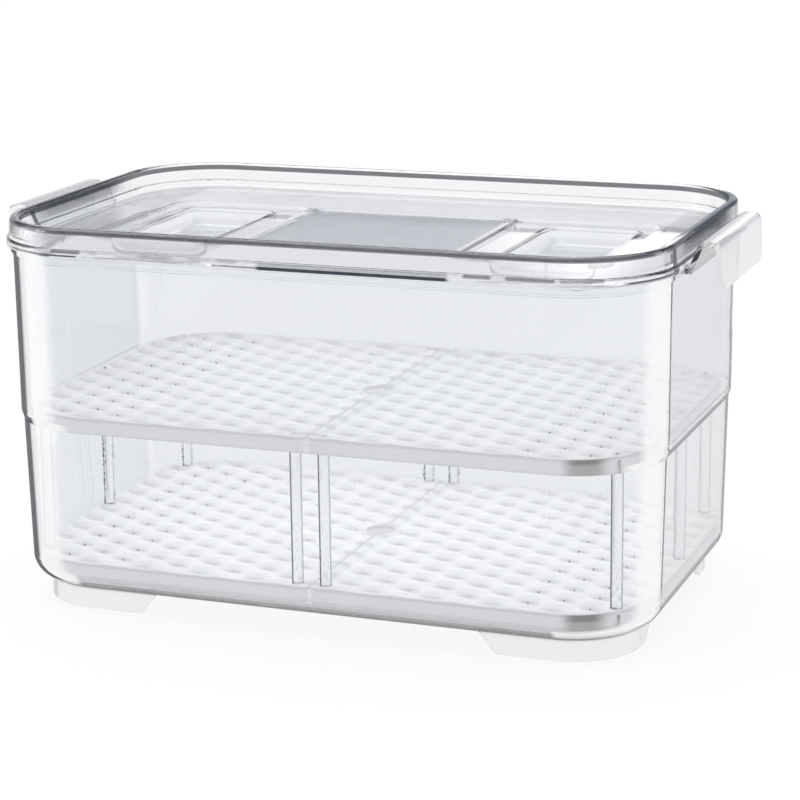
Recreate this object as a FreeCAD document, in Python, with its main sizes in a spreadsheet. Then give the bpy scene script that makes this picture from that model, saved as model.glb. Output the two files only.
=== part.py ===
import FreeCAD, Part
import os
import math
import Sketcher

# Two-tier refrigerator bin: a clear tub with corner feet and two end handles,
# a drop-in lid with two recessed wells, and a rack of four drain trays.
# The two upper trays stand on plug-in legs over the two lower trays.
# Frame: X along the length, Y front to back, Z up.  The origin is on the
# resting plane, under the middle of the tub.  Millimetres and degrees.

os.makedirs("parts", exist_ok=True)
doc = FreeCAD.newDocument("fridge_bin")
sheet = doc.addObject("Spreadsheet::Sheet", "Dims")
Vector = FreeCAD.Vector
UP = Vector(0, 0, 1)

# A centred rounded rectangle is given by its half_x, half_y and corner radius.
DIMS = {
    # tub: outlines of the outside at the base and at the rim
    "base_half_x": 155.9, "base_half_y": 98.1, "base_radius": 41.4,
    "rim_half_x": 158.9, "rim_half_y": 101.0, "rim_radius": 44.3,
    # tub: a small step half way up, as insets from the rim outline
    "step_low_inset": 1.5, "step_high_inset": 0.4, "step_inner_rise": 2.0,
    "base_z": 10.0, "band_z": 22.0, "step_low_z": 88.5, "step_high_z": 92.0, "rim_z": 172.0,
    "tub_wall": 2.4, "tub_floor": 2.4, "bottom_round": 11.0, "floor_round": 8.4,
    # tub: rim bead; rim_bite is how far bead and handles reach into the wall
    "bead_out": 1.0, "bead_tall": 3.2, "bead_round": 0.9, "rim_bite": 1.0,
    # corner feet: gap sizes are half widths, at the resting plane and at the tub's base
    "foot_half_x": 147.2, "foot_half_y": 89.6, "foot_radius": 32.7,
    "foot_wall": 2.2, "foot_merge": 0.8,
    "foot_gap_x_low": 88.0, "foot_gap_x_top": 80.0,
    "foot_gap_y_low": 50.0, "foot_gap_y_top": 42.0,
    "foot_gap_below": 1.25, "foot_gap_flare": 1.0,
    # end handles: x is the distance out from the middle of the tub
    "handle_half_y": 40.0, "handle_thick": 2.4,
    "handle_root_x": 161.7, "handle_root_under_x": 163.0, "handle_root_z": 170.8,
    "handle_apex_x": 166.4, "handle_apex_under_x": 168.0, "handle_top_z": 183.2,
    "handle_top_x": 175.9, "handle_low_x": 177.4, "handle_low_z": 161.5,
    "handle_top_round": 3.2, "handle_under_round": 1.4, "handle_corner": 9.0,
    # lid: outlines are offsets from the tub's rim outline
    "lid_gap": 0.1, "flange_out": 2.9, "flange_z": 176.0, "flange_round": 1.4,
    "lid_out": 2.1, "lid_top_z": 185.0, "lid_draft": 4.5, "recess_inset": 3.9,
    "lid_outer_round": 2.2, "lid_inner_round": 2.0,
    "deck_z": 172.5, "deck_thick": 2.4, "lid_skin": 2.2,
    "plug_inset": 3.2, "plug_wall": 2.0, "plug_low_z": 166.8, "plug_merge": 0.6,
    # lid: on each side a shallow border round a deep well, and a panel in the middle
    "border_in_x": 54.0, "border_out_x": 127.0, "border_half_y": 52.0,
    "border_radius": 8.0, "border_deep": 2.2,
    "well_in_x": 72.0, "well_out_x": 117.5, "well_half_y": 46.0,
    "well_radius": 6.0, "well_floor_z": 160.9, "well_draft": 3.0,
    "well_floor_round": 3.0, "well_under_round": 4.5,
    "panel_half_x": 50.5, "panel_half_y": 49.0, "panel_radius": 6.0, "panel_deep": 1.2,
    "panel_under_half_x": 49.5, "panel_under_radius": 7.0,
    # drain tray, in its own frame: seam side near x = 0, underside of the skirt at z = 0
    "tray_gap": 0.4, "tray_far_x": 151.5, "tray_half_y": 94.2,
    "tray_radius": 37.5, "seam_radius": 3.0,
    "tray_tall": 7.6, "tray_plate": 2.2, "tray_wall": 2.0, "tray_edge": 0.8,
    "notch_radius": 7.0, "notch_wall_below": 0.3, "trim_x": 16.0, "trim_margin": 8.0,
    "drain_radius": 1.7, "drain_pitch_x": 28.6, "drain_pitch_y": 16.0, "drain_first_x": 15.0,
    "nub_radius": 3.5, "nub_drop": 4.0, "nub_in_x": 29.3, "nub_out_x": 115.1, "nub_y": 64.0,
    "boss_radius": 4.2, "socket_radius": 2.8, "dimple_radius": 2.0, "dimple_deep": 1.4,
    # legs
    "leg_inner_x": 6.9, "leg_inner_y": 89.2, "leg_corner_x": 140.4, "leg_corner_y": 78.0,
    "leg_middle_x": 147.6, "leg_radius": 2.7, "leg_slack": 0.1, "leg_tip_round": 0.5,
    "spigot_radius": 1.9, "spigot_long": 1.2, "upper_tray_z": 87.2,
    # small overlaps between joined blocks, and overshoot of cuts
    "tray_merge": 0.4, "lid_merge": 0.2, "overcut": 0.01,
}
for row, (alias, value) in enumerate(DIMS.items(), start=1):
    sheet.set("A%d" % row, alias)
    sheet.set("B%d" % row, repr(value))
    sheet.setAlias("B%d" % row, alias)
doc.recompute()

SIDES = (("right", 1), ("left", -1))
LID_FOOT_Z = "rim_z + lid_gap"
# the lower trays stand on the tub's floor by their nubs
LOWER_TRAY_Z = "base_z + tub_floor + nub_drop"


# ---------------------------------------------------------------- expressions
# An expression is a number, or sums and differences of products of aliases and
# numbers, such as "rim_z - 2*tub_wall".

def terms(expression):
    """The signed products of an expression."""
    signed, sign = [], 1
    for token in str(expression).replace("-", " - ").replace("+", " + ").split():
        if token in "+-":
            sign = 1 if token == "+" else -1
        else:
            signed.append((sign, token))
            sign = 1
    return signed


def number(expression):
    """The value of an expression."""
    total = 0.0
    for sign, product in terms(expression):
        factors = [DIMS[f] if f in DIMS else float(f) for f in product.split("*")]
        total += sign * math.prod(factors)
    return total


def formula(expression):
    """The expression, addressed to the sheet."""
    text = "0"
    for sign, product in terms(expression):
        factors = ["Dims." + f if f in DIMS else f for f in product.split("*")]
        text += (" + " if sign > 0 else " - ") + "*".join(factors)
    return text


def negated(expression):
    return " ".join(("- " if sign > 0 else "+ ") + product for sign, product in terms(expression))


def toward(side, expression):
    """The expression on the right (1), negated on the left (-1)."""
    return expression if side > 0 else negated(expression)


def bind(obj, prop, expression):
    setattr(obj, prop, number(expression))
    obj.setExpression(prop, formula(expression))


# ---------------------------------------------------------------- sketches
def new_body(name):
    body = doc.addObject("PartDesign::Body", name)
    body.Label = name
    doc.recompute()
    return body


def new_sketch(body, name, height=0.0, role="XY_Plane"):
    sketch = body.newObject("Sketcher::SketchObject", name)
    plane = next(f for f in body.Origin.OriginFeatures if f.Role == role)
    sketch.AttachmentSupport = [(plane, "")]
    sketch.MapMode = "FlatFace"
    if height != 0.0:
        offset = Vector(0, 0, number(height))
        sketch.AttachmentOffset = FreeCAD.Placement(offset, FreeCAD.Rotation())
        sketch.setExpression("AttachmentOffset.Base.z", formula(height))
    return sketch


def constrain(sketch, *args):
    return sketch.addConstraint(Sketcher.Constraint(*args))


def constrain_to(sketch, name, expression, *args):
    """Add a named dimension that follows an expression."""
    index = constrain(sketch, *args, number(expression))
    sketch.renameConstraint(index, name)
    sketch.setExpression("Constraints." + name, formula(expression))


def pin(sketch, name, axis, geometry, point, expression):
    """Hold one coordinate of a sketch point; a dimension can't be negative."""
    ends = (-1, 1, geometry, point)
    if number(expression) < 0:
        ends = (geometry, point, -1, 1)
        expression = negated(expression)
    constrain_to(sketch, name, expression, "Distance" + axis.upper(), *ends)


def add_line(sketch, start, end):
    return sketch.addGeometry(Part.LineSegment(Vector(*start, 0), Vector(*end, 0)), False)


def add_circle(sketch, x, y, radius):
    return sketch.addGeometry(Part.Circle(Vector(x, y, 0), UP, radius), False)


def rounded(sketch, left, right, front, back, radius, left_radius=None, tag=""):
    """A rounded rectangle; its two left corners may have a radius of their own."""
    left_radius = left_radius or radius
    x0, x1, y0, y1 = (number(edge) for edge in (left, right, front, back))
    bend, left_bend = number(radius), number(left_radius)
    xa, xb = x0 + left_bend, x1 - bend
    sides = [((xa, y0), (xb, y0)), ((x1, y0 + bend), (x1, y1 - bend)),
             ((xb, y1), (xa, y1)), ((x0, y1 - left_bend), (x0, y0 + left_bend))]
    corners = [(xb, y0 + bend, bend), (xb, y1 - bend, bend),
               (xa, y1 - left_bend, left_bend), (xa, y0 + left_bend, left_bend)]
    lines = [add_line(sketch, start, end) for start, end in sides]
    arcs = []
    for k, (x, y, size) in enumerate(corners):
        start = math.radians(90 * k - 90)
        end = math.radians(90 * k)
        arc = Part.ArcOfCircle(Part.Circle(Vector(x, y, 0), UP, size), start, end)
        arcs.append(sketch.addGeometry(arc, False))
    for k in range(4):
        constrain(sketch, "Tangent", lines[k], 2, arcs[k], 1)
        constrain(sketch, "Tangent", arcs[k], 2, lines[(k + 1) % 4], 1)
    constrain(sketch, "Horizontal", lines[0])
    constrain(sketch, "Vertical", lines[1])
    constrain(sketch, "Equal", arcs[0], arcs[1])
    constrain(sketch, "Equal", arcs[2], arcs[3])
    constrain_to(sketch, "right_bend" + tag, radius, "Radius", arcs[0])
    constrain_to(sketch, "left_bend" + tag, left_radius, "Radius", arcs[2])
    pin(sketch, "front" + tag, "y", lines[0], 1, front)
    pin(sketch, "right" + tag, "x", lines[1], 1, right)
    pin(sketch, "back" + tag, "y", lines[2], 1, back)
    pin(sketch, "left" + tag, "x", lines[3], 1, left)


def centred(sketch, half_x, half_y, radius, tag=""):
    rounded(sketch, negated(half_x), half_x, negated(half_y), half_y, radius, tag=tag)


def outline(body, name, height, family, offset="", inner_offset=None):
    """A sketch of one of the sheet's centred outlines, offset by a signed term.

    An inner offset adds a second outline, which makes a ring.
    """
    sketch = new_sketch(body, name, height)
    for shift, tag in ((offset, ""), (inner_offset, "_in")):
        if shift is not None:
            sizes = [f"{family}_{size} {shift}" for size in ("half_x", "half_y", "radius")]
            centred(sketch, *sizes, tag=tag)
    return sketch


def polygon(sketch, points):
    """A closed polygon whose vertices are pairs of expressions."""
    places = [(number(x), number(y)) for x, y in points]
    count = len(points)
    lines = [add_line(sketch, places[k], places[(k + 1) % count]) for k in range(count)]
    for k in range(count):
        constrain(sketch, "Coincident", lines[k], 2, lines[(k + 1) % count], 1)
    for k, (x, y) in enumerate(points):
        pin(sketch, "px%d" % k, "x", lines[k], 1, x)
        pin(sketch, "py%d" % k, "y", lines[k], 1, y)


def circles(body, name, height, spots, radius):
    """A sketch of equal circles centred on pairs of expressions."""
    sketch = new_sketch(body, name, height)
    for k, (x, y) in enumerate(spots):
        ring = add_circle(sketch, number(x), number(y), number(radius))
        constrain_to(sketch, "radius_%d" % k, radius, "Radius", ring)
        # a zero coordinate lies on the other axis: -1 is the sketch's X axis, -2 its Y axis
        for axis, place, zero_line in (("x", x, -2), ("y", y, -1)):
            if number(place) == 0:
                constrain(sketch, "PointOnObject", ring, 3, zero_line)
            else:
                pin(sketch, "%s_%d" % (axis, k), axis, ring, 3, place)
    return sketch


# ---------------------------------------------------------------- features
def extrude(kind, body, name, sketch, length, reverse=False, midplane=False, taper=None):
    feature = body.newObject("PartDesign::" + kind, name)
    feature.Profile = sketch
    if length is None:
        feature.Type = 1  # through all
    else:
        bind(feature, "Length", length)
    feature.Reversed = reverse
    if midplane:
        feature.Midplane = True
    if taper is not None:
        bind(feature, "TaperAngle", taper)
    doc.recompute()
    return feature


def pad(body, name, sketch, length, **options):
    return extrude("Pad", body, name, sketch, length, **options)


def require_cut(body, before, name):
    if not body.Shape.Volume < before - 0.5:
        raise RuntimeError("%s cuts nothing" % name)


def pocket(body, name, sketch, length=None, **options):
    """A pocket, through all unless it has a length."""
    before = body.Shape.Volume
    feature = extrude("Pocket", body, name, sketch, length, **options)
    require_cut(body, before, name)
    return feature


def loft(body, kind, name, sections):
    feature = body.newObject("PartDesign::" + kind, name)
    feature.Profile = sections[0]
    feature.Sections = sections[1:]
    feature.Ruled = True
    doc.recompute()


def fillet(body, name, base, test, radius):
    """Round the edges of the base feature that pass the test."""
    names = ["Edge%d" % i for i, e in enumerate(base.Shape.Edges, start=1) if test(e)]
    if not names:
        raise RuntimeError("no edges on " + base.Name)
    feature = body.newObject("PartDesign::Fillet", name)
    feature.Base = (base, names)
    bind(feature, "Radius", radius)
    doc.recompute()
    return feature


# ---------------------------------------------------------------- edge tests
def flat_at(height):
    z = number(height)

    def test(edge):
        box = edge.BoundBox
        return abs(box.ZMin - z) < 0.02 and abs(box.ZMax - z) < 0.02
    return test


def reach(edge):
    """The edge's greatest distances from the middle along X and Y."""
    box = edge.BoundBox
    return max(abs(box.XMin), abs(box.XMax)), max(abs(box.YMin), abs(box.YMax))


def along_handle(height, side):
    """Edges that run the whole width of one handle at a height."""
    z = number(height)

    def test(edge):
        box = edge.BoundBox
        return (box.YLength > 2 * DIMS["handle_half_y"] - 1
                and box.XLength < 0.01 and box.ZLength < 0.01
                and abs(box.ZMin - z) < 0.1 and side * box.XMin > DIMS["rim_half_x"])
    return test


def plate_corner(side):
    """The short edges at the lower corners of one handle's finger plate."""
    def test(edge):
        box = edge.BoundBox
        return (box.YLength < 0.01 and box.ZLength < 0.05 and 1.5 < box.XLength < 3.0
                and abs(box.ZMin - DIMS["handle_low_z"]) < 0.05
                and side * box.Center.x > DIMS["handle_apex_x"])
    return test


def bead_outer(edge):
    """Outer edges of the rim bead's top."""
    if not flat_at("rim_z")(edge):
        return False
    if isinstance(edge.Curve, Part.Circle):
        return abs(edge.Curve.Radius - number("rim_radius + bead_out")) < 0.05
    x, y = reach(edge)
    return x > number("rim_half_x + bead_out") - 0.05 or y > number("rim_half_y + bead_out") - 0.05


def recess_lip(edge):
    """Edges round the mouth of the lid's top recess."""
    x, y = reach(edge)
    return (flat_at("lid_top_z")(edge) and x < number("rim_half_x - recess_inset") + 0.1
            and y < number("rim_half_y - recess_inset") + 0.1)


# ---------------------------------------------------------------- the tub
# name, height of the outside, outline, its offset, change of height for the cavity
TUB_STATIONS = [
    ("band", "band_z", "base", "", ""),
    ("low", "step_low_z", "rim", "- step_low_inset", "+ step_inner_rise"),
    ("high", "step_high_z", "rim", "- step_high_inset", "+ step_inner_rise"),
    ("rim", "rim_z", "rim", "", "+ overcut"),
]


def make_tub_shell(tub):
    sketch = outline(tub, "tub_out_base", "base_z", "base")
    pad(tub, "tub_base_band", sketch, "band_z - base_z")
    outside = [outline(tub, "tub_out_" + word, height, family, offset)
               for word, height, family, offset, rise in TUB_STATIONS]
    loft(tub, "AdditiveLoft", "tub_outside", outside)
    inside = [outline(tub, "tub_in_" + word, f"{height} {rise}", family, offset + " - tub_wall")
              for word, height, family, offset, rise in TUB_STATIONS]
    before = tub.Shape.Volume
    loft(tub, "SubtractiveLoft", "tub_cavity", inside)
    require_cut(tub, before, "tub_cavity")
    sketch = outline(tub, "tub_in_base", "band_z", "base", "- tub_wall")
    last = pocket(tub, "tub_floor_pocket", sketch, "band_z - base_z - tub_floor")
    last = fillet(tub, "tub_floor_round", last, flat_at("base_z + tub_floor"), "floor_round")
    fillet(tub, "tub_bottom_round", last, flat_at("base_z"), "bottom_round")
    # bead round the rim, which carries the lid's flange
    sketch = outline(tub, "bead_outline", "rim_z - bead_tall", "rim", "+ bead_out", "- rim_bite")
    pad(tub, "rim_bead", sketch, "bead_tall")


def make_feet(tub):
    """A skirt under the base, opened between the corners with sloped ends."""
    sketch = outline(tub, "foot_outline", 0.0, "foot", "", "- foot_wall")
    pad(tub, "foot_skirt", sketch, "base_z + foot_merge")
    # the XZ profile opens the front and back, the YZ profile the two ends
    for axis, word, role in (("x", "front_back", "XZ_Plane"), ("y", "ends", "YZ_Plane")):
        low = f"foot_gap_{axis}_low + foot_gap_flare"
        top = f"foot_gap_{axis}_top"
        below = "- foot_gap_below"
        sketch = new_sketch(tub, "foot_gap_profile_" + word, role=role)
        polygon(sketch, [(negated(low), below), (low, below),
                         (top, "base_z"), (negated(top), "base_z")])
        pocket(tub, "foot_gap_" + word, sketch, midplane=True)


# x outward and z: out along the underside to the finger plate, back over the top
HANDLE_PROFILE = [
    ("rim_half_x - rim_bite", "handle_root_z - handle_thick"),
    ("handle_root_under_x", "handle_root_z - handle_thick"),
    ("handle_apex_under_x", "handle_top_z - handle_thick"),
    ("handle_top_x - handle_thick", "handle_top_z - handle_thick"),
    ("handle_low_x - handle_thick", "handle_low_z"),
    ("handle_low_x", "handle_low_z"),
    ("handle_top_x", "handle_top_z"),
    ("handle_apex_x", "handle_top_z"),
    ("handle_root_x", "handle_root_z"),
    ("rim_half_x - rim_bite", "handle_root_z"),
]


def make_handle(tub, word, side):
    """An arched grip that leaves the rim, rises and drops to a finger plate."""
    sketch = new_sketch(tub, "handle_profile_" + word, role="XZ_Plane")
    polygon(sketch, [(toward(side, x), z) for x, z in HANDLE_PROFILE])
    last = pad(tub, "handle_grip_" + word, sketch, "2*handle_half_y", midplane=True)
    last = fillet(tub, "handle_top_round_" + word, last,
                  along_handle("handle_top_z", side), "handle_top_round")
    last = fillet(tub, "handle_under_round_" + word, last,
                  along_handle("handle_top_z - handle_thick", side), "handle_under_round")
    return fillet(tub, "handle_plate_corners_" + word, last, plate_corner(side), "handle_corner")


def make_tub():
    tub = new_body("tub")
    make_tub_shell(tub)
    make_feet(tub)
    for word, side in SIDES:
        last = make_handle(tub, word, side)
    fillet(tub, "rim_round", last, bead_outer, "bead_round")
    return tub


# ---------------------------------------------------------------- the lid
def make_lid_frame(lid):
    """Flange, raised rim, plug that drops into the tub, and the deck between recesses."""
    sketch = outline(lid, "lid_flange_outline", LID_FOOT_Z, "rim", "+ flange_out")
    last = pad(lid, "lid_flange", sketch, "flange_z " + negated(LID_FOOT_Z))
    fillet(lid, "lid_flange_round", last, flat_at("flange_z"), "flange_round")
    sketch = outline(lid, "lid_rim_outline", LID_FOOT_Z, "rim", "+ lid_out")
    last = pad(lid, "lid_rim_block", sketch, "lid_top_z " + negated(LID_FOOT_Z),
               taper="- lid_draft")
    fillet(lid, "lid_rim_outer_round", last, flat_at("lid_top_z"), "lid_outer_round")
    sketch = outline(lid, "lid_plug_outline", "plug_low_z", "rim", "- plug_inset")
    pad(lid, "lid_plug", sketch, "rim_z + plug_merge - plug_low_z")
    sketch = outline(lid, "lid_top_outline", "lid_top_z + overcut", "rim", "- recess_inset")
    last = pocket(lid, "lid_top_recess", sketch, "lid_top_z + overcut - deck_z")
    fillet(lid, "lid_rim_inner_round", last, recess_lip, "lid_inner_round")
    sketch = outline(lid, "lid_under_outline", "plug_low_z - overcut", "rim",
                     "- plug_inset - plug_wall")
    pocket(lid, "lid_under_recess", sketch, "deck_z - deck_thick - plug_low_z + overcut",
           reverse=True)


def side_outline(lid, name, height, side, kind, skin=False):
    """A sketch of the border or well on one side, grown by the lid's skin if asked."""
    more, less = ("+ lid_skin", "- lid_skin") if skin else ("", "")
    ends = [toward(side, f"{kind}_in_x {less}"), toward(side, f"{kind}_out_x {more}")]
    left, right = ends if side > 0 else reversed(ends)
    half_y = f"{kind}_half_y {more}"
    sketch = new_sketch(lid, name, height)
    rounded(sketch, left, right, negated(half_y), half_y, f"{kind}_radius {more}")
    return sketch


def make_lid():
    lid = new_body("lid")
    make_lid_frame(lid)
    border_floor = "deck_z - border_deep"
    # blocks on the underside
    for word, side in SIDES:
        sketch = side_outline(lid, "border_under_" + word, "deck_z - deck_thick - border_deep",
                              side, "border", skin=True)
        pad(lid, "border_block_" + word, sketch, "border_deep + lid_merge")
        sketch = side_outline(lid, "well_under_" + word, border_floor, side, "well", skin=True)
        pad(lid, "well_block_" + word, sketch, border_floor + " - well_floor_z + lid_skin",
            reverse=True, taper="- well_draft")
    sketch = new_sketch(lid, "panel_under", "deck_z - deck_thick - panel_deep")
    centred(sketch, "panel_under_half_x", "panel_half_y + lid_skin", "panel_under_radius")
    pad(lid, "panel_block", sketch, "panel_deep + lid_merge")
    # recesses from the top
    for word, side in SIDES:
        sketch = side_outline(lid, "border_top_" + word, "deck_z", side, "border")
        pocket(lid, "border_cut_" + word, sketch, "border_deep")
        sketch = side_outline(lid, "well_top_" + word, border_floor, side, "well")
        pocket(lid, "well_cut_" + word, sketch, border_floor + " - well_floor_z",
               taper="- well_draft")
    sketch = outline(lid, "panel_top", "deck_z", "panel")
    last = pocket(lid, "panel_cut", sketch, "panel_deep")
    last = fillet(lid, "well_floor_round", last, flat_at("well_floor_z"), "well_floor_round")
    fillet(lid, "well_under_round", last, flat_at("well_floor_z - lid_skin"),
           "well_under_round")
    return lid


# ---------------------------------------------------------------- drain trays
# name of the leg, and its place on the right-hand side
LEG_SPOTS = [
    ("front_inner", "leg_inner_x", "- leg_inner_y"),
    ("back_inner", "leg_inner_x", "leg_inner_y"),
    ("front_corner", "leg_corner_x", "- leg_corner_y"),
    ("back_corner", "leg_corner_x", "leg_corner_y"),
    ("outer_middle", "leg_middle_x", 0.0),
]
NUB_SPOTS = [(x, y) for x in ("nub_in_x", "nub_out_x") for y in ("- nub_y", "nub_y")]
# two staggered hole patterns: tag, x of the first column, columns, rows centred on y = 0
DRAINS = [
    ("a", "drain_first_x", 5, 11),
    ("b", "drain_first_x + 0.5*drain_pitch_x", 4, 10),
]


def make_tray_plate(body, name):
    """Plate with a skirt, big corners on the far side and small ones at the seam."""
    sketch = new_sketch(body, name + "_outline")
    rounded(sketch, "tray_gap", "tray_far_x", "- tray_half_y", "tray_half_y",
            "tray_radius", left_radius="seam_radius")
    block = pad(body, name + "_block", sketch, "tray_tall")
    fillet(body, name + "_edge", block, flat_at("tray_tall"), "tray_edge")
    sketch = new_sketch(body, name + "_under")
    half_y = "tray_half_y - tray_wall"
    rounded(sketch, "tray_gap + tray_wall", "tray_far_x - tray_wall", negated(half_y), half_y,
            "tray_radius - tray_wall")
    pocket(body, name + "_hollow", sketch, "tray_tall - tray_plate", reverse=True)


def add_leg_seats(body, name):
    """Sockets and nubs under the plate, and dimples on top of it."""
    spots = [(x, y) for word, x, y in LEG_SPOTS]
    sketch = circles(body, name + "_bosses", 0.0, spots, "boss_radius")
    pad(body, name + "_boss", sketch, "tray_tall - tray_plate + tray_merge")
    sketch = circles(body, name + "_sockets", 0.0, spots, "socket_radius")
    pocket(body, name + "_socket", sketch, "tray_tall - tray_plate", reverse=True)
    sketch = circles(body, name + "_nubs", "- nub_drop", NUB_SPOTS, "nub_radius")
    pad(body, name + "_nub", sketch, "nub_drop + tray_tall - tray_plate + tray_merge")
    sketch = circles(body, name + "_dimples", "tray_tall", spots, "dimple_radius")
    pocket(body, name + "_dimple", sketch, "dimple_deep")


def cut_notch(body, name):
    """A walled finger notch in the middle of the seam side."""
    centre = [("tray_gap", 0.0)]
    sketch = circles(body, name + "_notch_ring", 0.0, centre, "notch_radius + tray_wall")
    pad(body, name + "_notch_wall", sketch, "tray_tall - notch_wall_below")
    sketch = circles(body, name + "_notch_hole", 0.0, centre, "notch_radius")
    pocket(body, name + "_notch", sketch, reverse=True)
    # trim off the half of the wall that crosses the seam
    outer, half_y = "tray_gap - trim_x", "notch_radius + trim_margin"
    sketch = new_sketch(body, name + "_seam_trim")
    polygon(sketch, [(outer, negated(half_y)), ("tray_gap", negated(half_y)),
                     ("tray_gap", half_y), (outer, half_y)])
    pocket(body, name + "_trim", sketch, reverse=True)


def cut_drains(body, name):
    for tag, first_x, columns, rows in DRAINS:
        sketch = new_sketch(body, name + "_drain_" + tag)
        holes = []
        for i in range(columns):
            for j in range(rows):
                x = number(first_x) + i * DIMS["drain_pitch_x"]
                y = (j - (rows - 1) / 2) * DIMS["drain_pitch_y"]
                holes.append(add_circle(sketch, x, y, DIMS["drain_radius"]))
        constrain_to(sketch, "hole", "drain_radius", "Radius", holes[0])
        for hole in holes[1:]:
            constrain(sketch, "Equal", holes[0], hole)
        pocket(body, name + "_drains_" + tag, sketch, reverse=True)


def make_tray(name, height, angle):
    body = new_body(name)
    make_tray_plate(body, name)
    add_leg_seats(body, name)
    cut_notch(body, name)
    cut_drains(body, name)
    body.Placement = FreeCAD.Placement(Vector(0, 0, number(height)), FreeCAD.Rotation(UP, angle))
    body.setExpression("Placement.Base.z", formula(height))
    return body


# ---------------------------------------------------------------- tray legs
LEG_FOOT_Z = LOWER_TRAY_Z + " + tray_tall"
LEG_TOP_Z = "upper_tray_z + tray_tall - tray_plate - leg_slack"


def make_leg(name, x, y):
    """A round plug-in leg: spigot in the dimple below, shank up into the socket above."""
    body = new_body(name)
    sketch = circles(body, name + "_round", LEG_FOOT_Z, [(0.0, 0.0)], "leg_radius")
    shank = pad(body, name + "_shank", sketch, LEG_TOP_Z + " " + negated(LEG_FOOT_Z))
    fillet(body, name + "_tip", shank, flat_at(LEG_TOP_Z), "leg_tip_round")
    sketch = circles(body, name + "_spigot_round", LEG_FOOT_Z, [(0.0, 0.0)], "spigot_radius")
    pad(body, name + "_spigot", sketch, "spigot_long", reverse=True)
    body.Placement = FreeCAD.Placement(Vector(number(x), number(y), 0), FreeCAD.Rotation())
    body.setExpression("Placement.Base.x", formula(x))
    body.setExpression("Placement.Base.y", formula(y))
    return body


# ---------------------------------------------------------------- build and write
pieces = [make_tub(), make_lid()]
for level, height in (("lower", LOWER_TRAY_Z), ("upper", "upper_tray_z")):
    pieces.append(make_tray(level + "_right_tray", height, 0))
    pieces.append(make_tray(level + "_left_tray", height, 180))
for word, side in SIDES:
    for spot, x, y in LEG_SPOTS:
        pieces.append(make_leg(word + "_leg_" + spot, toward(side, x), y))
doc.recompute()

for obj in doc.Objects:
    if "Invalid" in obj.State or "Error" in obj.State:
        raise RuntimeError("%s is %s" % (obj.Name, obj.State))
for body in pieces:
    shape = body.Shape
    if shape.isNull() or not shape.isValid() or len(shape.Solids) != 1:
        raise RuntimeError("%s is not one valid solid" % body.Label)
for body in pieces:
    body.Shape.exportStep("parts/%s.step" % body.Label)
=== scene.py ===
# A clear bin: a tub on legs with a lid, and four frosted quilted trays in two layers.
# X runs along its length, Y across it and Z up from the floor. The camera stands
# on the -Y side, which is the front, and right is +X. Trays meet at x = 0.
import math
from functools import cached_property, reduce

import bmesh
import bpy
import numpy as np
from mathutils import Matrix, Vector


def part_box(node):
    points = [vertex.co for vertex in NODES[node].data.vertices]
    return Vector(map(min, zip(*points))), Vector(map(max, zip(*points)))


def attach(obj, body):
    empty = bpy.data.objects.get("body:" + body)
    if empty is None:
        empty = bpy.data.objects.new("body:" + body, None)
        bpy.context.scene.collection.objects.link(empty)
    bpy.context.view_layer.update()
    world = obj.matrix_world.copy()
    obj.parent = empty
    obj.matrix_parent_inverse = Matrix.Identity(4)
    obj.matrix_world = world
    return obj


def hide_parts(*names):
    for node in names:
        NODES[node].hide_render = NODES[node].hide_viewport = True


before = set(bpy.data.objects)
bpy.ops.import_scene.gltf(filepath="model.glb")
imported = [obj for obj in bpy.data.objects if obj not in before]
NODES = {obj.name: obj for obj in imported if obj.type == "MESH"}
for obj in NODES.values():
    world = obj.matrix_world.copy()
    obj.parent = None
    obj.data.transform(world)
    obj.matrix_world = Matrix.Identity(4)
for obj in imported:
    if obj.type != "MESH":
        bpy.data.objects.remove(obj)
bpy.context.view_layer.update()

MM = 0.001
TRAY_BODIES = ("lower_right", "lower_left", "upper_right", "upper_left")

# inner wall of the rim: centre of its rounded corner and corner radius, metres
RIM_CENTRE_X, RIM_CENTRE_Y, RIM_RADIUS = 0.1146, 0.0567, 0.0404

# drain holes of the right-hand tray, mm: first hole's x, then pitch along X and Y
HOLE_X, HOLE_PITCH_X, HOLE_PITCH_Y = 15.0, 28.6, 16.0

# quilting, mm
PIT_DEPTH, RIB_DEPTH, MAX_DEPTH = 1.15, 0.38, 1.5
ALONG_SHARE, ACROSS_SHARE = 0.62, 0.38    # weights of the two diagonal waves
FLAT_DROP = 0.02                          # depth of the surface where it is flat
FLAT_X = (4.0, 149.6)                     # the quilting lies between these
FLAT_Y = 92.2
BORDER_FADE = 2.0
CORNER_X, CORNER_Y, CORNER_RADIUS = 114.0, 56.7, 35.4
FLAT_SPOTS = (                            # x, y, radius, fade
    (0.4, 0.0, 8.6, 1.6),
    (6.9, 89.2, 3.6, 1.2), (6.9, -89.2, 3.6, 1.2),
    (140.4, 78.0, 3.6, 1.2), (140.4, -78.0, 3.6, 1.2), (147.6, 0.0, 3.6, 1.2),
)
CUTTER_STEP, CUTTER_HEIGHT = 1.0, 3.0
WELD = 1e-6                               # metres
SMOOTH_ANGLE = 40.0                       # degrees


# ---------------------------------------------------------------- node helpers

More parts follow.
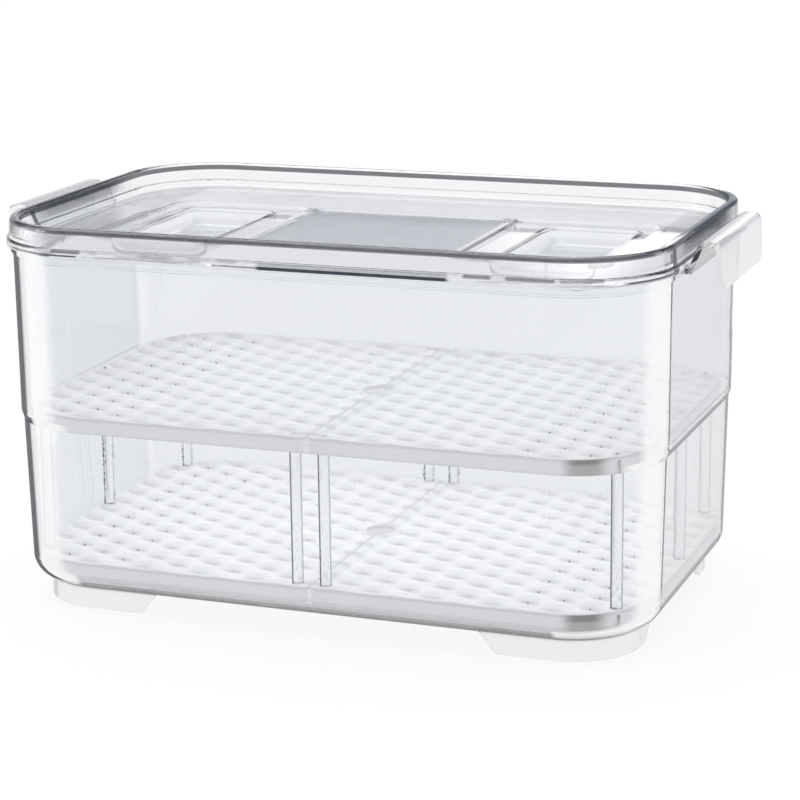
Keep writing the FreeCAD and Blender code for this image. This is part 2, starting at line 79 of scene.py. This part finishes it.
class Tree:
    """The nodes of a material or world. Most calls add a node and return its output."""

    def __init__(self, name, world=False):
        if world:
            self.owner = bpy.data.worlds.new(name)
            bpy.context.scene.world = self.owner
        else:
            self.owner = bpy.data.materials.new(name)
        self.owner.use_nodes = True
        self.tree = self.owner.node_tree
        self.tree.nodes.clear()
        self.end = self.node("OutputWorld" if world else "OutputMaterial")

    def finish(self, shader):
        self.put(self.end.inputs[0], shader)
        return self.owner

    def put(self, socket, value):
        if isinstance(value, bpy.types.NodeSocket):
            self.tree.links.new(value, socket)
        elif isinstance(value, (tuple, list)) and len(value) == 3 and socket.type == "RGBA":
            socket.default_value = (*value, 1.0)
        else:
            socket.default_value = value

    def node(self, kind, inputs=None, **settings):
        node = self.tree.nodes.new("ShaderNode" + kind)
        for name, value in settings.items():
            setattr(node, name, value)
        for key, value in (inputs or {}).items():
            self.put(node.inputs[key], value)
        return node

    def output(self, kind, inputs, **settings):
        return self.node(kind, inputs, **settings).outputs[0]

    def math(self, operation, *values):
        return self.output("Math", dict(enumerate(values)), operation=operation)

    def add(self, *values):
        return reduce(lambda a, b: self.math("ADD", a, b), values)

    def times(self, *values):
        return reduce(lambda a, b: self.math("MULTIPLY", a, b), values)

    def most(self, *values):
        return reduce(lambda a, b: self.math("MAXIMUM", a, b), values)

    def minus(self, a, b):
        return self.math("SUBTRACT", a, b)

    def abs(self, value):
        return self.math("ABSOLUTE", value)

    def sign(self, value):
        return self.math("SIGN", value)

    def span(self, value, start, end, first=0.0, last=1.0):
        """Goes smoothly from first to last while the value goes from start to end."""
        inputs = {0: value, 1: start, 2: end, 3: first, 4: last}
        return self.output("MapRange", inputs, interpolation_type="SMOOTHSTEP")

    def rise(self, value, start, end):
        return self.span(value, start, end)

    def fall(self, value, start, end):
        return self.span(value, start, end, first=1.0, last=0.0)

    def window(self, value, lo, hi, soft):
        """1 between lo and hi, 0 outside."""
        return self.times(self.rise(value, lo - soft, lo + soft),
                          self.fall(value, hi - soft, hi + soft))

    def mix(self, factor, a, b):
        return self.node("Mix", {0: factor, 6: a, 7: b}, data_type="RGBA").outputs[2]

    def blend(self, factor, a, b):
        """Mix of two numbers."""
        return self.output("Mix", {0: factor, 2: a, 3: b}, data_type="FLOAT")

    def mix_shaders(self, factor, a, b):
        return self.output("MixShader", {0: factor, 1: a, 2: b})

    def add_shaders(self, a, b):
        return self.output("AddShader", {0: a, 1: b})

    def noise(self, scale, detail, rough, squash=None):
        vector = self.position
        if squash:
            vector = self.output("Mapping", {0: vector, "Scale": squash})
        return self.output("TexNoise", {"Scale": scale, "Detail": detail,
                                        "Roughness": rough, "Vector": vector})

    def split(self, vector):
        return tuple(self.node("SeparateXYZ", {0: vector}).outputs)

    @cached_property
    def position(self):
        return self.node("TexCoord").outputs["Object"]

    @cached_property
    def xyz(self):
        return self.split(self.position)

    def facing(self):
        """0 where a surface faces the viewer, towards 1 where it is seen edge on."""
        return self.node("LayerWeight", {"Blend": 0.42}).outputs["Facing"]

    def bump(self, height, strength, distance, normal=None):
        inputs = {"Strength": strength, "Distance": distance, "Height": height}
        if normal is not None:
            inputs["Normal"] = normal
        return self.output("Bump", inputs)


# ---------------------------------------------------------------- clear plastic

def corner_reach(s):
    """How far a point lies past the centre of the rim's rounded corner, along X and Y."""
    x, y, _ = s.xyz
    return (s.most(s.minus(s.abs(x), RIM_CENTRE_X), 0.0),
            s.most(s.minus(s.abs(y), RIM_CENTRE_Y), 0.0))


def rim_distance(s, reach_x, reach_y):
    """How far a point lies outside the rim's inner wall, in metres."""
    far = s.math("SQRT", s.add(s.times(reach_x, reach_x), s.times(reach_y, reach_y)))
    return s.minus(far, RIM_RADIUS)


def surface_detail(s, face_tint, rough, wave):
    """Flow waves, fine scuffs, smears and a little dust, as moulded clear plastic has."""
    flow = s.noise(scale=9.0, detail=3.0, rough=0.55, squash=(1.0, 1.0, 2.2))
    scuff = s.noise(scale=420.0, detail=2.0, rough=0.7, squash=(1.0, 0.12, 1.0))
    smear = s.noise(scale=26.0, detail=4.0, rough=0.62)
    dust = s.noise(scale=60.0, detail=5.0, rough=0.65)
    roughness = s.add(s.span(smear, 0.42, 0.78, first=rough, last=rough + 0.05),
                      s.span(scuff, 0.62, 0.8, first=0.0, last=0.05))
    haze = s.span(dust, 0.55, 0.85, first=0.01, last=0.04)
    normal = s.bump(flow, strength=wave, distance=0.004)
    normal = s.bump(scuff, strength=0.03, distance=0.0003, normal=normal)
    tint = s.mix(s.span(flow, 0.35, 0.7, first=0.0, last=0.4),
                 face_tint, tuple(c * 0.965 for c in face_tint))
    return tint, roughness, haze, normal


def plastic_shader(s, tint, roughness, haze, normal, painted_dark_lines, painted_glow=None,
                   painted_line_color=(0.035, 0.038, 0.050)):
    """Clear plastic with dust (haze), a painted white glow standing in for light, and painted dark
    lines standing in for shade, over it.
    """
    dust_color = (0.94, 0.95, 0.97)
    shader = s.output("BsdfPrincipled", {
        "Base Color": tint, "Roughness": roughness, "IOR": 1.49,
        "Transmission Weight": 1.0, "Normal": normal})
    dust = s.mix_shaders(0.5, s.output("BsdfDiffuse", {"Color": dust_color}),
                         s.output("BsdfTranslucent", {"Color": dust_color}))
    shader = s.mix_shaders(haze, shader, dust)
    if painted_glow is not None:
        # painted highlight: a white glow standing in for light gathered in a rounded corner, which
        # shows as a milky band
        painted_glow_shader = s.output("Emission", {"Color": (0.945, 0.95, 0.96)})
        shader = s.mix_shaders(painted_glow, shader, painted_glow_shader)
    # painted shade: where light is trapped in a thick edge the plastic shows a dark line, painted
    # here as a dark opaque layer
    dark = s.output("BsdfPrincipled", {
        "Base Color": painted_line_color, "Roughness": 0.5, "Specular IOR Level": 0.12})
    return s.finish(s.mix_shaders(painted_dark_lines, shader, dark))


def tub_plastic():
    """Pale grey-blue walls, painted shade edge on, painted highlights on the rounded corners, a
    painted dark line on the base radius, cloudy feet with a painted glow.
    """
    s = Tree("clear_tub")
    x, y, z = s.xyz
    reach_x, reach_y = corner_reach(s)
    rim = rim_distance(s, reach_x, reach_y)
    corner = s.times(s.rise(reach_x, 0.0005, 0.004), s.rise(reach_y, 0.0005, 0.004))
    tint, roughness, haze, normal = surface_detail(
        s, face_tint=(0.905, 0.915, 0.928), rough=0.015, wave=0.05)
    geo = s.node("NewGeometry")
    normal_x, normal_y, normal_z = s.split(geo.outputs["True Normal"])
    backfacing = geo.outputs["Backfacing"]

    # level faces count as less edge on
    facing = s.times(s.facing(), s.span(s.abs(normal_z), 0.60, 0.90, first=1.0, last=0.35))

    # tint: painted shade, darker edge on, more so high up; painted highlight, white corners;
    # painted dark line, darkest at the very outline
    edge_on_shade = s.mix(s.rise(z, 0.080, 0.105), (0.735, 0.75, 0.775), (0.600, 0.618, 0.652))
    tint = s.mix(s.rise(facing, 0.30, 0.66), tint, edge_on_shade)
    light = s.times(corner, s.rise(facing, 0.27, 0.42))
    tint = s.mix(s.times(light, 0.95), tint, (1.0, 1.0, 1.0))
    tint = s.mix(s.rise(facing, 0.68, 0.80), tint, (0.30, 0.31, 0.33))

    # painted highlight: a glowing milky band on the outside of the corners, below the rim and
    # above the feet
    outward = s.add(s.times(normal_x, s.sign(x)), s.times(normal_y, s.sign(y)))
    outside = s.times(s.rise(outward, 0.0, 0.3), s.minus(1.0, backfacing))
    body = s.times(s.fall(rim, 0.0060, 0.0064), s.rise(z, 0.0085, 0.016))
    painted_glow = s.times(corner, outside, s.window(facing, 0.27, 0.60, soft=0.06), body, 0.80)

    # painted dark outline, wider and stronger at the left-hand corners
    left = s.times(corner, s.fall(x, -0.01, 0.01))
    threshold = s.blend(left, 0.72, 0.575)
    outline = s.times(s.rise(s.minus(facing, threshold), 0.0, 0.07),
                      s.blend(left, 0.50, 0.93),
                      s.span(rim, 0.0060, 0.0066, first=1.0, last=0.25))
    # painted dark line along the base radius
    base = s.times(s.window(z, 0.0098, 0.0124, soft=0.0005), s.rise(rim, -0.012, -0.0095))
    painted_dark_lines = s.most(outline, s.times(base, 0.60))

    # cloudy feet: rougher and dustier, with a fainter painted dark line and a painted white glow
    feet = s.fall(z, 0.0085, 0.0100)
    roughness = s.add(roughness, s.times(feet, 0.16))
    haze = s.add(haze, s.times(feet, 0.22))
    painted_dark_lines = s.times(painted_dark_lines, s.blend(feet, 1.0, 0.22))
    painted_glow = s.most(painted_glow, s.times(feet, 0.55, s.minus(1.0, backfacing)))

    # painted glow on the upright plates at the two ends, and painted shade on the tops of the
    # grips, darker at the right
    plate = s.times(s.rise(s.abs(x), 0.1725, 0.1740), s.fall(z, 0.1795, 0.1815))
    painted_glow = s.most(painted_glow, s.times(plate, 0.30))
    grip = s.times(s.rise(z, 0.1805, 0.1818),
                   s.rise(s.abs(x), 0.163, 0.165),
                   s.rise(normal_z, 0.3, 0.7),
                   s.span(s.abs(x), 0.1690, 0.1740, first=1.0, last=0.25))
    painted_dark_lines = s.most(painted_dark_lines, s.times(grip, s.span(x, -0.01, 0.01, first=0.16, last=0.52)))
    return plastic_shader(s, tint, roughness, haze, normal, painted_dark_lines, painted_glow)


def flange_lines(s, rim, geo):
    """Painted reflection of the dark middle panel in the flange's face, and painted dark dashes
    above it.
    """
    x, _, z = s.xyz
    # where the line of sight meets the panel's edge
    look_x, look_y, _ = s.split(geo.outputs["Incoming"])
    depth = s.math("MINIMUM", s.times(s.abs(look_y), -1.0), -0.05)
    seen_x = s.add(x, s.times(s.math("DIVIDE", look_x, depth), 0.055))
    centre = s.window(seen_x, -0.042, 0.052, soft=0.0015)
    front_face = s.minus(1.0, geo.outputs["Backfacing"])
    line = s.times(s.window(z, 0.1719, 0.1737, soft=0.0002),
                   s.times(s.rise(rim, 0.0056, 0.0062), front_face), centre)
    faint = s.times(s.window(z, 0.1734, 0.1756, soft=0.0005),
                    s.times(s.rise(rim, 0.0050, 0.0056), front_face), centre, 0.42)

    # stretches of painted dark dashes along X, the last one ragged and faint
    ragged = s.rise(s.noise(scale=46.0, detail=1.0, rough=0.5, squash=(1.0, 0.2, 0.2)),
                    0.42, 0.50)
    runs = s.add(
        s.times(s.window(x, 0.0785, 0.0910, soft=0.001), 1.0),
        s.window(x, 0.0976, 0.1195, soft=0.001),
        s.times(s.window(x, 0.1218, 0.1395, soft=0.001), 0.8),
        s.window(x, -0.1200, -0.1050, soft=0.001),
        s.times(s.window(x, -0.100, -0.024, soft=0.004), ragged, 0.45))
    dashes = s.times(s.window(z, 0.1741, 0.1757, soft=0.0003),
                     s.rise(rim, 0.0050, 0.0056), front_face, runs)
    return s.most(line, faint), dashes


def lid_plastic():
    """Painted dark lines along the rim's inner edge and the flange, painted shade edge on and in
    the wells, a darker frosted centre panel.
    """
    s = Tree("clear_lid")
    x, y, z = s.xyz
    rim = rim_distance(s, *corner_reach(s))
    tint, roughness, haze, normal = surface_detail(
        s, face_tint=(0.972, 0.977, 0.986), rough=0.02, wave=0.05)
    facing = s.facing()
    geo = s.node("NewGeometry")
    normal_x, _, normal_z = s.split(geo.outputs["True Normal"])
    abs_x, abs_y = s.abs(x), s.abs(y)

    # tint: painted shade, a little darker edge on and in the wells beside the centre panel; the
    # centre panel darker too
    tint = s.mix(s.rise(facing, 0.30, 0.85), tint, (0.950, 0.957, 0.970))
    panel = s.times(s.fall(abs_x, 0.0497, 0.0508), s.fall(abs_y, 0.0482, 0.0493),
                    s.window(z, 0.1665, 0.1740, soft=0.0005))
    tint = s.mix(panel, tint, (0.705, 0.725, 0.810))
    well_shade = s.times(s.window(abs_x, 0.0715, 0.1180, soft=0.0006),
                   s.fall(abs_y, 0.0462, 0.0468), s.fall(z, 0.1640, 0.1660))
    tint = s.mix(well_shade, tint, (0.790, 0.802, 0.835))
    roughness = s.add(roughness, s.times(panel, 0.14))

    # painted dark lines: the outline, then the inner and outer top edges of the rim
    outline = s.times(s.rise(facing, 0.86, 0.95), 0.65)
    inner_edge = s.times(s.window(z, 0.1817, 0.1841, soft=0.0003),
                         s.window(rim, -0.0012, 0.0016, soft=0.0003), 0.80)
    outer_edge = s.times(s.rise(z, 0.1830, 0.1840),
                         s.window(rim, 0.0040, 0.0062, soft=0.0004), 0.28)
    line, dashes = flange_lines(s, rim, geo)

    # painted shade on the flat top of the end rims, dark along its inner edge, wider towards one
    # corner
    width = s.span(s.times(y, s.sign(x)), -0.062, 0.005, first=0.0012, last=0.0066)
    strip = s.times(s.rise(rim, -0.0012, -0.0004), s.fall(s.minus(rim, width), -0.0006, 0.0006))
    end_top = s.times(s.times(s.rise(z, 0.1832, 0.1840), strip, s.rise(abs_x, 0.1440, 0.1520)),
                      s.span(x, -0.01, 0.01, first=0.22, last=0.86))

    # painted dark lines on the inner wall of the end rims, seen from behind through the plastic
    floor = s.span(s.times(y, s.sign(x)), -0.06, 0.06, first=0.1822, last=0.1778)
    end_wall = s.times(s.window(rim, -0.0012, 0.0006, soft=0.0003),
                       s.rise(s.minus(z, floor), -0.0006, 0.0006),
                       s.rise(s.abs(normal_x), 0.45, 0.85),
                       geo.outputs["Backfacing"], 0.55)
    inner_wall = s.times(s.window(rim, -0.0012, 0.0006, soft=0.0003),
                         s.window(z, 0.1740, 0.1812, soft=0.0006), 0.05)

    # painted shade on the deck's strip next to the end rims, darker at the right
    deck = s.times(s.window(z, 0.1700, 0.1728, soft=0.0002), s.rise(normal_z, 0.7, 0.9))
    deck_end = s.times(s.times(s.rise(abs_x, 0.1275, 0.1295), deck),
                       s.span(x, 0.1275, 0.1500, first=0.10, last=0.32))

    # the end rims' outer walls, shaded behind the grips' arches
    arch = s.times(s.rise(s.abs(normal_x), 0.70, 0.95), s.fall(abs_y, 0.030, 0.052))
    behind_grip = s.times(s.rise(rim, 0.0035, 0.0042),
                          s.window(z, 0.1768, 0.1842, soft=0.0006), arch,
                          s.span(z, 0.1768, 0.1842, first=0.42, last=0.80))

    painted_dark_lines = s.most(outline, inner_edge, outer_edge, s.times(line, 0.94), s.times(dashes, 0.66),
                 end_wall, end_top, inner_wall, deck_end, behind_grip)
    return plastic_shader(s, tint, roughness, haze, normal, painted_dark_lines,
                          painted_line_color=(0.030, 0.036, 0.062))


def leg_plastic():
    """Solid clear rod, with painted shade and painted dark lines towards its outline, most of all
    on the left.
    """
    s = Tree("clear_leg")
    tint, roughness, haze, normal = surface_detail(
        s, face_tint=(0.98, 0.982, 0.985), rough=0.02, wave=0.02)
    facing = s.facing()
    tint = s.mix(s.rise(facing, 0.30, 0.70), tint, (0.62, 0.63, 0.65))
    geo = s.node("NewGeometry")
    normal_x = s.split(geo.outputs["True Normal"])[0]
    painted_dark_lines = s.times(s.rise(facing, 0.24, 0.46),
                  s.span(normal_x, -0.2, 0.3, first=0.95, last=0.42),
                  s.minus(1.0, geo.outputs["Backfacing"]))
    return plastic_shader(s, tint, roughness, haze, normal, painted_dark_lines)


# ---------------------------------------------------------------- frosted plastic

def top_color(s, cloud, normal_x, normal_y):
    """White quilted face, with painted shade in the ribs and pits and where it slopes to the front
    right, away from the light.
    """
    x, y, _ = s.xyz
    phase_x = s.times(s.minus(s.abs(x), HOLE_X * MM), 2 * math.pi / (HOLE_PITCH_X * MM))
    phase_y = s.times(s.times(y, s.sign(x)), 2 * math.pi / (HOLE_PITCH_Y * MM))
    along = s.math("COSINE", s.add(phase_x, phase_y))
    across = s.math("COSINE", s.minus(phase_x, phase_y))
    pit_shade = s.rise(s.add(s.times(along, ALONG_SHARE), s.times(across, ACROSS_SHARE)), 0.10, 0.92)
    slope_shade = s.add(s.times(normal_x, -0.55), s.times(normal_y, 0.80))
    color = s.mix(s.rise(cloud, 0.3, 0.75), (0.985, 0.985, 0.985), (0.955, 0.957, 0.962))
    # painted shade: greyer down the ribs, darker still in the pits round the holes
    color = s.mix(s.span(along, -0.9, 0.9, first=0.0, last=0.22), color, (0.80, 0.805, 0.815))
    color = s.mix(s.times(pit_shade, 0.52), color, (0.60, 0.60, 0.61))
    # painted shade on slopes that face the front right, away from the light
    return s.mix(s.span(slope_shade, -0.30, 0.20, first=0.38, last=0.0), color, (0.66, 0.67, 0.685))


def skirt_color(s, lower, normal_x, normal_y):
    """Skirt in painted shade, greyer than the top, with thin lines along its top and bottom, and
    darker painted shade on its turned corners.
    """
    x, _, z = s.xyz
    level = s.minus(z, s.blend(lower, 0.0872, 0.0164))    # height within the skirt
    lines = s.most(s.rise(level, 0.0054, 0.0066), s.fall(level, 0.0006, 0.0020))
    skirt = s.mix(s.times(lines, 0.55), (0.845, 0.845, 0.855), (0.62, 0.62, 0.635))
    # painted shade on the corners turned to the front right, away from the light
    corner = s.times(s.window(normal_x, 0.22, 0.60, soft=0.10),
                     s.times(s.fall(normal_y, -0.2, 0.0), s.rise(s.abs(x), 0.09, 0.10)))
    turned_corner_shade = s.mix(s.fall(level, 0.003, 0.005), (0.24, 0.235, 0.23), (0.50, 0.49, 0.48))
    return s.mix(corner, skirt, turned_corner_shade)


def frosted_plastic():
    """White tray plastic with a grainy satin face that lets light through."""
    s = Tree("frosted_tray")
    geo = s.node("NewGeometry")
    normal_x, normal_y, normal_z = s.split(geo.outputs["Normal"])
    side = s.fall(s.abs(normal_z), 0.25, 0.75)
    lower = s.fall(s.xyz[2], 0.05, 0.06)    # 1 on the lower trays
    cloud = s.noise(scale=38.0, detail=4.0, rough=0.6)
    grain = s.noise(scale=2600.0, detail=2.0, rough=0.6)
    color = s.mix(side, top_color(s, cloud, normal_x, normal_y),
                  skirt_color(s, lower, normal_x, normal_y))
    sheet = s.mix(0.20, color, (0.0, 0.0, 0.0))
    face = s.output("BsdfPrincipled", {
        "Base Color": sheet,
        "Roughness": s.span(cloud, 0.3, 0.8, first=0.30, last=0.46),
        "IOR": 1.5,
        "Normal": s.bump(grain, strength=0.12, distance=0.0002)})
    leak = s.output("BsdfTranslucent", {"Color": sheet})

    # painted light: an emission glow standing in for the light the bin scatters into the sheet,
    # strong inside the walls, weak above the rim
    height = s.split(geo.outputs["Position"])[2]
    amount = s.add(s.blend(lower, 0.335, 0.425), s.times(side, s.blend(lower, 0.03, -0.07)))
    strength = s.blend(s.fall(height, 0.165, 0.195), 0.12, amount)
    glow = s.output("Emission", {"Color": color, "Strength": strength})
    return s.finish(s.add_shaders(s.mix_shaders(0.42, face, leak), glow))


# ---------------------------------------------------------------- mesh helpers

def new_mesh(name, verts, faces):
    mesh = bpy.data.meshes.new(name)
    mesh.from_pydata(verts, [], faces)
    mesh.update()
    return mesh


def add_object(name, data):
    obj = bpy.data.objects.new(name, data)
    bpy.context.scene.collection.objects.link(obj)
    return obj


def grid_faces(columns, rows):
    """Upward faces of a grid whose points are listed column by column."""
    stride = rows + 1
    corners = (i * stride + j for i in range(columns) for j in range(rows))
    return [(a, a + stride, a + stride + 1, a + 1) for a in corners]


def weld(mesh):
    bm = bmesh.new()
    bm.from_mesh(mesh)
    bmesh.ops.remove_doubles(bm, verts=bm.verts, dist=WELD)
    bm.to_mesh(mesh)
    bm.free()
    mesh.update()


def smooth_by_angle(mesh, degrees):
    bm = bmesh.new()
    bm.from_mesh(mesh)
    limit = math.radians(degrees)
    for face in bm.faces:
        face.smooth = True
    for edge in bm.edges:
        edge.smooth = len(edge.link_faces) == 2 and edge.calc_face_angle(4.0) < limit
    bm.to_mesh(mesh)
    bm.free()


# ---------------------------------------------------------------- quilted trays

def quilt_height(x, y):
    """Height of a tray's top in mm: pits round the drain holes, pillows, flat borders."""
    phase_x = 2 * math.pi * (x - HOLE_X) / HOLE_PITCH_X
    phase_y = 2 * math.pi * y / HOLE_PITCH_Y
    along, across = np.cos(phase_x + phase_y), np.cos(phase_x - phase_y)
    pits = 0.5 * (ALONG_SHARE * along + ACROSS_SHARE * across + 1.0)    # 1 at every hole
    ribs = 0.5 + 0.5 * along                          # gentle, from hole to hole
    depth = np.minimum(PIT_DEPTH * pits ** 0.9 + RIB_DEPTH * ribs, MAX_DEPTH)

    corner = np.hypot(np.clip(x - CORNER_X, 0, None), np.clip(np.abs(y) - CORNER_Y, 0, None))
    edges = (x - FLAT_X[0], FLAT_X[1] - x, FLAT_Y - np.abs(y), CORNER_RADIUS - corner)
    fades = [np.clip(edge / BORDER_FADE, 0, 1) for edge in edges]
    for spot_x, spot_y, radius, fade in FLAT_SPOTS:
        fades.append(np.clip((np.hypot(x - spot_x, y - spot_y) - radius) / fade, 0, 1))
    border = np.minimum.reduce(fades)
    border = border * border * (3 - 2 * border)
    return -(FLAT_DROP + depth * border)


def quilt_cutter(top):
    """The space above the quilted face of the right-hand tray, as one closed block."""
    xs = np.arange(-1.0, 153.01, CUTTER_STEP)
    ys = np.arange(-96.0, 96.01, CUTTER_STEP)
    grid_x, grid_y = np.meshgrid(xs, ys, indexing="ij")
    # flat parts are lifted just clear of the tray's top, so they aren't cut
    clear = 0.02
    height = np.where((grid_x > 2.0) & (grid_x < 151.0), quilt_height(grid_x, grid_y), clear)
    height = np.where(height > -0.03, clear, height)
    roof = np.full_like(grid_x, top + CUTTER_HEIGHT)
    verts = np.vstack([np.stack([grid_x, grid_y, level], -1).reshape(-1, 3) * MM
                       for level in (top + height, roof)])
    columns, rows = grid_x.shape
    count = columns * rows

    faces = []
    for a, b, c, d in grid_faces(columns - 1, rows - 1):
        faces.append((a, d, c, b))
        faces.append((a + count, b + count, c + count, d + count))

    def wall(a, b):
        faces.append((a, b, b + count, a + count))

    for i in range(columns - 1):
        start, after = i * rows, (i + 1) * rows
        wall(start, after)
        wall(after + rows - 1, start + rows - 1)
    last = (columns - 1) * rows
    for j in range(rows - 1):
        wall(j + 1, j)
        wall(last + j, last + j + 1)
    return new_mesh("quilt_cutter", verts.tolist(), faces)


def quilted_tray_mesh():
    """The CAD tray with its flat top carved into quilting, in the lower right place."""
    mesh = NODES["lower_right_tray"].data.copy()
    mesh.materials.clear()
    weld(mesh)
    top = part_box("lower_right_tray")[1].z / MM
    body = add_object("quilt_work", mesh)
    cutter = add_object("quilt_cut", quilt_cutter(top))
    carve = body.modifiers.new("carve", "BOOLEAN")
    carve.operation = "DIFFERENCE"
    carve.solver = "EXACT"
    carve.object = cutter
    depsgraph = bpy.context.evaluated_depsgraph_get()
    made = bpy.data.meshes.new_from_object(body.evaluated_get(depsgraph))
    bpy.data.objects.remove(body)
    bpy.data.objects.remove(cutter)
    weld(made)
    smooth_by_angle(made, SMOOTH_ANGLE)
    return made


def add_trays(material):
    """Four copies of the tray; the left-hand ones are turned half round."""
    base = quilted_tray_mesh()
    home_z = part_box("lower_right_tray")[0].z
    for body in TRAY_BODIES:
        tray = body + "_tray"
        mesh = base.copy()
        mesh.name = tray + "_quilted"
        turn = Matrix.Rotation(math.pi, 4, "Z") if "left" in body else Matrix.Identity(4)
        mesh.transform(Matrix.Translation((0, 0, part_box(tray)[0].z - home_z)) @ turn)
        mesh.materials.clear()
        mesh.materials.append(material)
        obj = add_object(tray + "_quilted", mesh)
        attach(obj, body)
        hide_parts(tray)


def paint(node, material):
    mesh = NODES[node].data
    mesh.materials.clear()
    mesh.materials.append(material)


# ---------------------------------------------------------------- stage, light and camera

def add_floor():
    """A white floor that glows, so it stays almost free of shadow."""
    half_side, cells = 12.0, 8
    ticks = np.linspace(-half_side, half_side, cells + 1)
    verts = [(x, y, -0.0001) for x in ticks for y in ticks]
    floor = add_object("floor", new_mesh("floor", verts, grid_faces(cells, cells)))
    s = Tree("floor_white")
    matt = s.output("BsdfDiffuse", {"Color": (0.075, 0.075, 0.075)})
    glow = s.output("Emission", {"Color": (1.0, 1.0, 1.0), "Strength": 0.895})
    floor.data.materials.append(s.finish(s.add_shaders(matt, glow)))


# brightness of the sky by the z of its direction: position, brightness
SKY_STOPS = (
    (0.0, 1.0), (0.07, 1.0), (0.13, 0.80), (0.27, 0.79), (0.33, 0.07),
    (0.60, 0.05), (0.69, 0.30), (0.77, 1.0), (1.0, 1.0),
)


def add_world():
    """A studio with a bright lamp overhead; the camera itself sees plain white."""
    s = Tree("studio", world=True)
    x, y, z = s.split(s.node("TexCoord").outputs["Generated"])
    ramp = s.node("ValToRGB", {0: z})
    ramp.color_ramp.interpolation = "EASE"
    stops = ramp.color_ramp.elements
    for stop, (position, value) in zip(stops, (SKY_STOPS[0], SKY_STOPS[-1])):
        stop.position = position
        stop.color = (value, value, value, 1)
    for position, value in SKY_STOPS[1:-1]:
        stops.new(position).color = (value, value, value * 1.02, 1)

    # the lamp is stronger towards the back left
    lean = s.add(s.times(x, -0.55), s.times(y, 0.55))
    lean = s.add(1.0, s.times(lean, s.rise(z, 0.5, 0.7)))
    strength = s.times(s.span(z, 0.66, 0.80, first=0.97, last=3.4), lean)
    # plain refraction never sees the lamp itself, so clear corners don't burn out
    path = s.node("LightPath")
    clean = s.times(path.outputs["Is Transmission Ray"],
                    s.math("LESS_THAN", path.outputs["Diffuse Depth"], 0.5))
    strength = s.blend(clean, strength, s.math("MINIMUM", strength, 1.0))
    studio = s.output("Background", {"Color": ramp.outputs[0], "Strength": strength})
    plain = s.output("Background", {"Color": (1.0, 1.0, 1.0), "Strength": 1.03})
    s.finish(s.mix_shaders(path.outputs["Is Camera Ray"], studio, plain))


def add_camera():
    """A long lens in front, to the right and above, aimed at the middle of the bin."""
    cam = add_object("camera", bpy.data.cameras.new("camera"))
    cam.location = (0.4286, -1.1190, 0.3921)
    target = Vector((0.0, 0.0, 0.0941))
    roll = math.radians(-0.798)
    forward = (target - cam.location).normalized()
    right = forward.cross(Vector((0, 0, 1))).normalized()
    up = right.cross(forward)
    rolled_right = math.cos(roll) * right + math.sin(roll) * up
    rolled_up = -math.sin(roll) * right + math.cos(roll) * up
    cam.rotation_mode = "QUATERNION"
    axes = Matrix((rolled_right, rolled_up, -forward)).transposed()
    cam.rotation_quaternion = axes.to_quaternion()
    cam.data.sensor_width = 36.0
    cam.data.lens = 114.94
    cam.data.shift_x = 0.0254
    cam.data.shift_y = -0.0123
    cam.data.clip_start, cam.data.clip_end = 0.05, 60.0
    bpy.context.scene.camera = cam


def add_card(name, azimuth, distance, width, height, strength):
    """A reflector card with soft edges, seen only in shine. Azimuth 0 is the front."""
    columns, rows = 12, 4
    verts = [(u * width, 0.0, v * height)
             for u in np.linspace(-0.5, 0.5, columns + 1)
             for v in np.linspace(0.0, 1.0, rows + 1)]
    card = add_object(name, new_mesh(name, verts, grid_faces(columns, rows)))
    angle = math.radians(azimuth)
    card.location = (math.sin(angle) * distance, -math.cos(angle) * distance, 0.001)
    card.rotation_euler = (0, 0, angle)
    s = Tree(name + "_glow")
    fade = s.span(s.abs(s.xyz[0]), width * 0.12, width * 0.5, first=strength, last=0.0)
    glow = s.output("Emission", {"Strength": fade})
    clear = s.output("BsdfTransparent", {})
    card.data.materials.append(s.finish(s.add_shaders(glow, clear)))
    card.visible_camera = False
    card.visible_transmission = False
    card.visible_diffuse = False
    card.visible_shadow = False


def set_render():
    scene = bpy.context.scene
    scene.view_settings.view_transform = "Standard"
    scene.view_settings.look = "None"
    scene.cycles.max_bounces = 28
    scene.cycles.transmission_bounces = 26
    scene.cycles.glossy_bounces = 10
    scene.cycles.diffuse_bounces = 5
    scene.cycles.transparent_max_bounces = 12


# ---------------------------------------------------------------- build

tub_material = tub_plastic()
lid_material = lid_plastic()
leg_material = leg_plastic()
tray_material = frosted_plastic()

paint("tub", tub_material)
paint("lid", lid_material)
for name in NODES:
    if "_leg_" in name:
        paint(name, leg_material)
add_trays(tray_material)

add_floor()
add_world()
add_camera()
add_card("card_left", azimuth=-66.0, distance=0.42, width=0.30, height=0.6, strength=2.6)
add_card("card_back", azimuth=178.0, distance=0.60, width=0.40, height=0.5, strength=1.5)
set_render()
